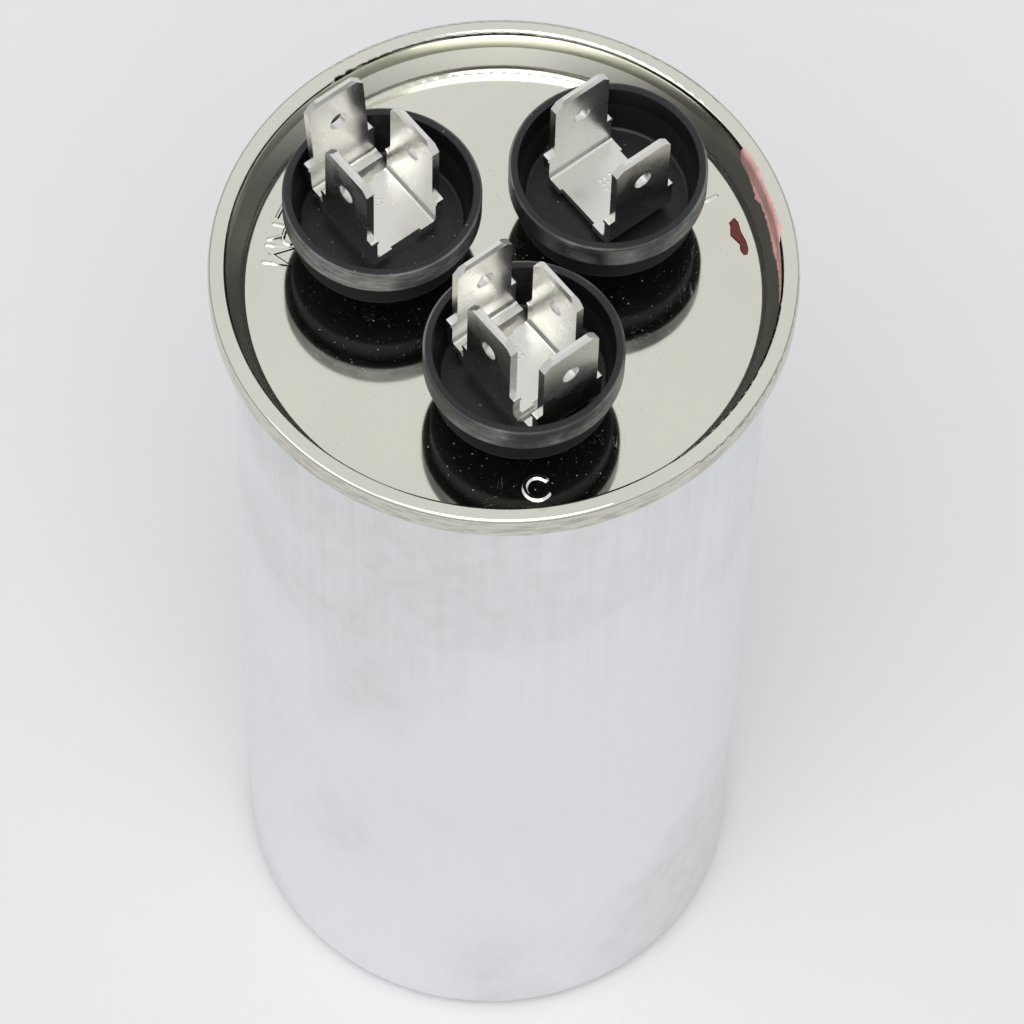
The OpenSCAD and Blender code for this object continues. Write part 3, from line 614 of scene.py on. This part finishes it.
class CAPACITOR_OT_insulators(bpy.types.Operator):
    """Finish the black cups, their gaskets and bushings"""
    bl_idname = "capacitor.insulators"
    bl_label = "Insulators"

    def execute(self, context):
        values = context.scene.capacitor_moulding
        dress(["cup_" + t for t in TERMINALS], self.cup(values))
        dress(["gasket_" + t for t in TERMINALS], moulded("gasket_rubber", values.rubber, roughness=0.6))
        dress(["bushing_" + t for t in TERMINALS], moulded("brown_moulding", values.brown, roughness=0.5))
        return {"FINISHED"}

    def cup(self, values):
        """Black moulding with a scuffed band and rim, and painted shade: a darker, duller recess wall and a
        darker, dull bowl.
        """
        made, tree, sockets, place = new_material("black_moulding")
        box = put(tree, "ShaderNodeTexCoord").outputs["Generated"]
        part = put(tree, "ShaderNodeSeparateXYZ", {"Vector": box}).outputs
        across = [maths(tree, "SUBTRACT", part[axis], 0.5) for axis in ("X", "Y")]
        out = maths(tree, "SQRT", maths(tree, "ADD", *(product(tree, half, half) for half in across)))
        up = part["Z"]

        # Where on the cup, as shares of its width and height
        band = product(tree, between(tree, out, 0.488, 0.497), between(tree, up, 0.755, 0.775))
        rim = product(tree, between(tree, out, 0.484, 0.494), between(tree, up, 0.975, 0.992))
        bowl = largest(tree, between(tree, up, 0.505, 0.495),
                       product(tree, between(tree, out, 0.455, 0.459), between(tree, up, 0.765, 0.755)))
        wall = product(tree, between(tree, out, 0.462, 0.452), between(tree, out, 0.418, 0.43),
                       between(tree, up, 0.79, 0.83))

        fine = grained(tree, place, stretch=(2600, 2600, 2600), depth=0.1)
        scrape = grained(tree, place, stretch=(420, 420, 2600), depth=0.1)["Value"]
        patch = patches(tree, place, per_metre=130.0)
        lines = scratched(tree, place, turn=(0.2, 0.3, 0.9), stretch=(1500, 120, 1500), width=0.014,
                          amount=0.5)
        specks = dusty(tree, place, per_metre=1700.0, size=0.2, amount=0.3)
        rub = product(tree, between(tree, scrape, 0.36, 0.64, 0.35, 1.0), between(tree, patch, 0.1, 0.9))
        worn = largest(tree, product(tree, band, rub, values.scuffs),
                       product(tree, rim, between(tree, patch, 0.1, 1.0, 0.12, 0.6)),
                       product(tree, lines, 0.06))

        tone = mixed(tree, worn, values.black, values.scuff)
        tone = mixed(tree, product(tree, specks, 0.4), tone, values.speck)
        # Painted shade under the cup: its bowl is darkened
        tone = mixed(tree, bowl, tone, shaded(values.black, 0.8))
        # Painted shade in the recess: its wall is darkened
        tone = mixed(tree, wall, tone, shaded(values.black, 0.5))
        rough = largest(tree, between(tree, worn, 0.0, 0.6, values.roughness, values.roughness - 0.06),
                        product(tree, bowl, 0.7))
        shine = between(tree, largest(tree, bowl, product(tree, wall, 0.7)), 0.0, 1.0, 0.42, 0.16)
        feed(tree, sockets, Base_Color=tone, Roughness=rough, Normal=fine["Normal"],
             Specular_IOR_Level=shine)
        return made


class CAPACITOR_OT_blades(bpy.types.Operator):
    """Finish the tin-plated blades, studs, washers and lugs"""
    bl_idname = "capacitor.blades"
    bl_label = "Blades"

    def execute(self, context):
        values = context.scene.capacitor_blades
        nodes = ["upper_blades_c", "lower_blades_c", "upper_blades_herm", "lower_blade_herm", "blades_fan"]
        dress(nodes, self.plating(values))
        round_edges(nodes, values.edge)
        # Node, material, colour and roughness
        for node, name, tone, rough in (("stud_", "stud_metal", values.stud, 0.28),
                                        ("washer_", "washer_steel", values.steel, 0.35),
                                        ("lug_", "lug_tin", values.stud, 0.3)):
            dress([node + t for t in TERMINALS], moulded(name, tone, rough, metallic=1.0))
        return {"FINISHED"}

    def plating(self, values):
        """Satin tin with faint marks up and aslant the blades."""
        made, tree, sockets, place = new_material("blade_tin", 1.0)
        upright = scratched(tree, place, turn=(0, 0, 0.2), stretch=(3600, 3600, 130), width=0.02,
                            amount=0.2)
        slanting = scratched(tree, place, turn=(0.5, 0.4, 0.8), stretch=(2600, 140, 2600), width=0.02,
                             amount=0.12)
        marks = largest(tree, upright, slanting)
        clouds = cloudy(tree, place, values.tin, per_metre=240.0, low=0.97)
        fine = grained(tree, place, stretch=(900, 900, 360), depth=0.014)
        tone = mixed(tree, product(tree, marks, 0.06), clouds["Color"], shaded(values.tin, 0.6))
        rough = maths(tree, "ADD", product(tree, marks, 0.04),
                      between(tree, clouds["Value"], 0.0, 1.0, values.roughness - 0.03,
                              values.roughness + 0.03))
        feed(tree, sockets, Base_Color=tone, Roughness=rough, Normal=fine["Normal"])
        return made


class CAPACITOR_OT_inner(bpy.types.Operator):
    """Finish what the can holds: liner, discs, wound element and leads"""
    bl_idname = "capacitor.inner"
    bl_label = "Inner pieces"

    def execute(self, context):
        values = context.scene.capacitor_inner
        # The grain of a roll runs round it, in rings one over the other
        wound = (60, 60, 9000)
        dress(["interrupter_disc", "hold_down_ring"],
              moulded("disc_moulding", values.plastic, roughness=0.5))
        dress(["liner"], moulded("liner_plastic", values.liner, roughness=0.4))
        dress(["core_tube"], moulded("core_plastic", values.core, roughness=0.45))
        dress(["bottom_spacer"], moulded("pressboard", values.board, roughness=0.85,
                                         stretch=(3000, 3000, 3000), depth=0.5))
        dress(["fan_winding", "herm_winding"], moulded("film", values.film, roughness=0.25, metallic=0.6,
                                                       stretch=wound, depth=0.2))
        dress(["section_wrap", "outer_wrap"], moulded("wrap_film", values.wrap, roughness=0.22,
                                                      stretch=wound, depth=0.1))
        dress([name + "_end_spray" for name in ("fan", "herm", "common")],
              moulded("zinc_spray", values.zinc, roughness=0.7, metallic=0.8,
                      stretch=(5000, 5000, 5000), depth=0.9))
        dress(["lead_" + t for t in TERMINALS],
              moulded("lead_copper", values.copper, roughness=0.3, metallic=1.0))
        for t, name in (("c", "red"), ("herm", "yellow"), ("fan", "blue")):
            dress(["sleeve_" + t], moulded("sleeve_" + name, getattr(values, name), roughness=0.4))
        return {"FINISHED"}


class CAPACITOR_OT_legends(bpy.types.Operator):
    """Emboss the terminal legends in the lid"""
    bl_idname = "capacitor.legends"
    bl_label = "Legends"

    def execute(self, context):
        values = context.scene.capacitor_legend
        made = bpy.data.materials["tinplate"]
        word = (values.radius, values.width, values.stroke, values.rise)
        alone = (values.single_radius, values.single_width, values.single_stroke, values.single_rise)
        # Letters, and where round the lid their middle is, in degrees
        for letters, heading, sizes in (("C", 240.0, alone), ("HERM", 123.05, word), ("FAN", -2.35, word)):
            radius, width, stroke, rise = sizes
            wide, high = width - stroke, values.height - stroke
            shape = bmesh.new()
            for i, letter in enumerate(letters):
                turn = math.radians(heading) + (i - (len(letters) - 1) / 2) * values.pitch
                # Local X runs round the lid, local Y towards its middle
                seat = (Matrix.Rotation(turn, 4, "Z")
                        @ Matrix.Translation((radius, 0, PANEL_TOP - values.sunk))
                        @ Matrix.Rotation(math.pi / 2, 4, "Z"))
                for line in LETTERS[letter]:
                    bead(shape, [(px * wide, py * high) for px, py in line], stroke, rise, seat)
            name = "legend_" + letters.lower()
            new_piece(name, finish_mesh(shape, name), made)
        return {"FINISHED"}


def dome(shape, seat, radius, rise):
    """A low round dot with a closed underside."""
    rings, spokes = 4, 14
    rows = []
    for k in range(rings):
        turn = math.pi / 2 * k / rings
        wide, high = radius * math.cos(turn), rise * math.sin(turn)
        rows.append([shape.verts.new(seat @ Vector((wide * math.cos(a), wide * math.sin(a), high)))
                     for a in (2 * math.pi * s / spokes for s in range(spokes))])
    top = shape.verts.new(seat @ Vector((0, 0, rise)))
    for s in range(spokes):
        after = (s + 1) % spokes
        for low, high in zip(rows, rows[1:]):
            shape.faces.new((low[s], low[after], high[after], high[s]))
        shape.faces.new((rows[-1][s], rows[-1][after], top))
    shape.faces.new(list(reversed(rows[0])))


class CAPACITOR_OT_welds(bpy.types.Operator):
    """Add the weld dots on the plates in the cups"""
    bl_idname = "capacitor.welds"
    bl_label = "Weld dots"

    def execute(self, context):
        values = context.scene.capacitor_weld
        made = bpy.data.materials["blade_tin"]
        picks = random.Random(7)
        # Node and the marks' middle, in millimetres from the middle of its plate
        for t, node, sx, sy in (("fan", "blades_fan", 0.5, 0.4), ("c", "upper_blades_c", 0.2, 1.6),
                                ("herm", "upper_blades_herm", 0.0, 1.4)):
            shape = bmesh.new()
            centre = middle(node) + Vector((sx, sy, 0)) * MM
            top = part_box(node)[0].z + BLADE_SHEET
            for i in (-1, 0, 1):
                for j in (-1, 0, 1):
                    x, y = (along + (step + picks.uniform(-values.stray, values.stray)) * values.pitch
                            for along, step in ((centre.x, i), (centre.y, j)))
                    dome(shape, Matrix.Translation((x, y, top)), values.radius, values.rise)
            new_piece("weld_dots_" + t, finish_mesh(shape, "weld_dots_" + t), made)
        return {"FINISHED"}


# Along the paint mark: degrees round the lid, then its lower and upper edge, in millimetres along
# the wall's section from its foot
MARK_EDGES = ((-8, 2.3, 4.3), (-9.5, 1.8, 4.3), (-14, 1.5, 4.3), (-17, 1.1, 4.2), (-19, 1.4, 4.1),
              (-29, 1.2, 4.3), (-31.5, 1.2, 3.9), (-33, 1.4, 3.0), (-36, 1.5, 2.5), (-44, 1.7, 1.9))

# Outline of the dark patch painted on the panel as the pink mark's reflection: radius in millimetres and
# degrees round the lid
REFLECTION_OUTLINE = ((23.2, -18), (23.4, -19.5), (23.3, -22), (23.5, -25), (23.5, -27), (23.3, -28.5),
                 (22.9, -28.5), (22.7, -27), (22.8, -25.5), (22.2, -22.5), (22.5, -20), (22.5, -19))


class CAPACITOR_OT_paint(bpy.types.Operator):
    """Add the brushed paint mark on the lid's chuck wall and a dark patch on its panel, painted as the
    mark's reflection
    """
    bl_idname = "capacitor.paint"
    bl_label = "Paint mark"

    def execute(self, context):
        values = context.scene.capacitor_paint
        self.add_mark(values)
        self.add_painted_reflection(values)
        return {"FINISHED"}

    def wall_section(self):
        """The lid's wall from its foot up and over the seam's inner edge, as radius and height."""
        wall = SEAM_RADIUS - SEAM_WIDTH
        line = [(wall - WALL_LEAN, PANEL_TOP + PANEL_FILLET), (wall, SEAM_TOP - WALL_UPRIGHT),
                (wall, SEAM_TOP - SEAM_ROUND)]
        turns = [math.radians(degrees) for degrees in range(12, 91, 13)]
        return line + [(wall + SEAM_ROUND * (1 - math.cos(a)), SEAM_TOP - SEAM_ROUND * (1 - math.sin(a)))
                       for a in turns]

    def point_on(self, line, run):
        """The point at a run along a section, and the way its surface faces."""
        for a, b in zip(line, line[1:]):
            length_here = math.dist(a, b)
            if run <= length_here or b is line[-1]:
                step = Vector(b) - Vector(a)
                return Vector(a) + step * run / length_here, Vector((-step.y, step.x)).normalized()
            run -= length_here
        return None

    def edges_at(self, degrees):
        """Lower and upper edge of the mark, in metres along the section from its foot."""
        for first, last in zip(MARK_EDGES, MARK_EDGES[1:]):
            if degrees >= last[0]:
                part = (degrees - first[0]) / (last[0] - first[0])
                return [(a + (b - a) * part) * MM for a, b in zip(first[1:], last[1:])]
        return [value * MM for value in MARK_EDGES[-1][1:]]

    def add_mark(self, values):
        """A brushed film of paint on the wall and over the seam's inner edge."""
        start, end = MARK_EDGES[0][0], MARK_EDGES[-1][0]
        rows, columns = 22, 220
        line = self.wall_section()
        whole = sum(math.dist(a, b) for a, b in zip(line, line[1:]))
        shape = bmesh.new()
        grid = []
        for i in range(columns + 1):
            degrees = start + (end - start) * i / columns
            turn = math.radians(degrees)
            low, high = self.edges_at(degrees)
            # Both edges waver as a brush leaves them
            low += 0.16 * MM * noise.noise(Vector((degrees * 1.1, 0.0, 3.1)))
            high = min(whole, high + 0.12 * MM * noise.noise(Vector((degrees * 1.3, 7.0, 1.7))))
            row = []
            for j in range(rows + 1):
                flat, face = self.point_on(line, low + (high - low) * j / rows)
                # The film thins towards its edges
                inside = min(j, rows - j, i / 2, (columns - i) / 2)
                flat = flat + face * values.film * min(1.0, 0.15 + inside / 3)
                row.append(shape.verts.new((flat.x * math.cos(turn), flat.x * math.sin(turn), flat.y)))
            grid.append(row)
        for before, after in zip(grid, grid[1:]):
            for j in range(rows):
                shape.faces.new((before[j], before[j + 1], after[j + 1], after[j]))
        made = new_piece("paint_mark", finish_mesh(shape, "paint_mark"), self.paint("paint", values.pink))
        film = made.modifiers.new("film", "SOLIDIFY")
        film.thickness = values.film
        film.offset = 0.0

    def add_painted_reflection(self, values):
        """A dark patch on the panel, painted as the reflection of the pink mark."""
        spots = [Matrix.Rotation(math.radians(a), 2) @ Vector((r * MM, 0)) for r, a in REFLECTION_OUTLINE]
        centre = sum(spots, Vector((0, 0))) / len(spots)
        shape = bmesh.new()
        rings = []
        # Size of each ring of the film and the share of its thickness that it reaches
        for scale, rise in ((1.0, 0.2), (0.9, 0.8), (0.6, 1.0)):
            ring = [centre + (spot - centre) * scale for spot in spots]
            rings.append([shape.verts.new((x, y, PANEL_TOP + values.film * rise)) for x, y in ring])
        for low, high in zip(rings, rings[1:]):
            for k in range(len(spots)):
                after = (k + 1) % len(spots)
                shape.faces.new((low[k], low[after], high[after], high[k]))
        shape.faces.new(rings[-1])
        shape.faces.new(list(reversed(rings[0])))
        new_piece("paint_patch", finish_mesh(shape, "paint_patch"), self.paint("dry_paint", values.red))

    def paint(self, name, tone):
        """Brushed paint with cloudy colour."""
        made, tree, sockets, place = new_material(name)
        fine = grained(tree, place, stretch=(900, 900, 5000), depth=0.4)
        rough = between(tree, fine["Value"], 0.3, 0.7, 0.35, 0.5)
        clouds = cloudy(tree, place, tone, per_metre=700.0, high=1.25)
        feed(tree, sockets, Base_Color=clouds["Color"], Roughness=rough, Normal=fine["Normal"])
        return made


class CAPACITOR_OT_stage(bpy.types.Operator):
    """Set the floor, the room's light, two lamps and the camera"""
    bl_idname = "capacitor.stage"
    bl_label = "Stage"

    def execute(self, context):
        values = context.scene.capacitor_stage
        self.add_floor(values)
        self.add_room(context.scene, values)
        self.add_lamps(context.scene, values)
        self.add_camera(context.scene, values)
        return {"FINISHED"}

    def add_floor(self, values):
        """A wide matt floor at the can's foot."""
        shape = bmesh.new()
        bmesh.ops.create_circle(shape, cap_ends=True, radius=2.5, segments=96)
        mesh = finish_mesh(shape, "floor", False)
        floor = bpy.data.objects.new("floor", mesh)
        bpy.context.scene.collection.objects.link(floor)
        made, tree, sockets, place = new_material("floor")
        clouds = cloudy(tree, place, values.floor, per_metre=3.0, low=0.985)
        feed(tree, sockets, Base_Color=clouds["Color"])
        sockets["Roughness"].default_value = 0.9
        sockets["Specular IOR Level"].default_value = 0.15
        mesh.materials.append(made)

    def add_room(self, scene, values):
        """An even room: one level for the view, others for its light and for what metal mirrors."""
        world = bpy.data.worlds.new("room")
        world.use_nodes = True
        tree = world.node_tree
        sky = tree.nodes["Background"]
        seen = put(tree, "ShaderNodeLightPath").outputs
        mirrored = largest(tree, seen["Is Glossy Ray"], seen["Is Transmission Ray"])
        heading = put(tree, "ShaderNodeTexCoord").outputs["Generated"]
        up = put(tree, "ShaderNodeSeparateXYZ", {"Vector": heading}).outputs["Z"]
        # In what the metal mirrors, the far walls are darker than the ceiling
        walls = between(tree, up, 0.2, 0.5, values.horizon, values.backdrop)
        level = put(tree, "ShaderNodeMapRange", {"Value": mirrored, "To Min": values.room,
                                                 "To Max": walls}).outputs["Result"]
        level = put(tree, "ShaderNodeMapRange", {"Value": seen["Is Camera Ray"], "To Min": level,
                                                 "To Max": values.backdrop}).outputs["Result"]
        sky.inputs["Color"].default_value = shaded(values.tint)
        tree.links.new(level, sky.inputs["Strength"])
        scene.world = world

    def add_lamps(self, scene, values):
        """Round softboxes that face the top of the can."""
        aim = Vector((0, 0, SEAM_TOP))
        # Name, power, size, turn from the camera's side, height over the level in degrees, distance
        for name, power, size, turn, rise, distance in (("front", values.front, 1.15, 0.0, 66.0, 1.5),
                                                        ("side", values.side, 0.7, -62.0, 50.0, 1.1)):
            lamp = bpy.data.lights.new(name, "AREA")
            lamp.shape = "DISK"
            lamp.size = size
            lamp.energy = power
            light = bpy.data.objects.new(name, lamp)
            scene.collection.objects.link(light)
            heading, up = values.azimuth + math.radians(turn), math.radians(rise)
            out = Vector((math.cos(heading) * math.cos(up), math.sin(heading) * math.cos(up), math.sin(up)))
            light.location = aim + out * distance
            light.rotation_euler = (-out).to_track_quat("-Z", "Y").to_euler()

    def add_camera(self, scene, values):
        """A long lens that looks down on the terminals."""
        lens = bpy.data.cameras.new("camera")
        lens.lens = values.lens
        lens.sensor_width = 36.0
        lens.clip_start = 0.01
        camera = bpy.data.objects.new("camera", lens)
        scene.collection.objects.link(camera)
        out = Vector((math.cos(values.azimuth), math.sin(values.azimuth), 0))
        right = Vector((-out.y, out.x, 0))
        camera.location = out * values.distance + Vector((0, 0, values.height))
        aim = right * values.aim_side - out * values.aim_far + Vector((0, 0, values.aim_height))
        turn = (aim - camera.location).to_track_quat("-Z", "Y").to_matrix().to_4x4()
        camera.rotation_euler = (turn @ Matrix.Rotation(values.roll, 4, "Z")).to_euler()
        scene.camera = camera
        scene.view_settings.view_transform = "Standard"


OPERATORS = [CAPACITOR_OT_can, CAPACITOR_OT_lid, CAPACITOR_OT_insulators, CAPACITOR_OT_blades,
             CAPACITOR_OT_inner, CAPACITOR_OT_legends, CAPACITOR_OT_welds, CAPACITOR_OT_paint,
             CAPACITOR_OT_stage]


class CAPACITOR_PT_panel(bpy.types.Panel):
    """Steps that dress the capacitor"""
    bl_idname = "CAPACITOR_PT_panel"
    bl_label = "Motor run capacitor"
    bl_space_type = "VIEW_3D"
    bl_region_type = "UI"
    bl_category = "Capacitor"

    def draw(self, context):
        for step in OPERATORS:
            self.layout.operator(step.bl_idname)
        for name, kind in GROUPS.items():
            box = self.layout.box()
            for prop in kind.__annotations__:
                box.prop(getattr(context.scene, name), prop)


def register():
    for kind in [*GROUPS.values(), *OPERATORS, CAPACITOR_PT_panel]:
        bpy.utils.register_class(kind)
    for name, kind in GROUPS.items():
        setattr(bpy.types.Scene, name, bpy.props.PointerProperty(type=kind))


def unregister():
    for name in GROUPS:
        delattr(bpy.types.Scene, name)
    for kind in reversed([*GROUPS.values(), *OPERATORS, CAPACITOR_PT_panel]):
        bpy.utils.unregister_class(kind)


def main():
    """Dresses the capacitor."""
    register()
    for step in OPERATORS:
        getattr(bpy.ops.capacitor, step.bl_idname.split(".")[1])()


if __name__ == "__main__":
    main()
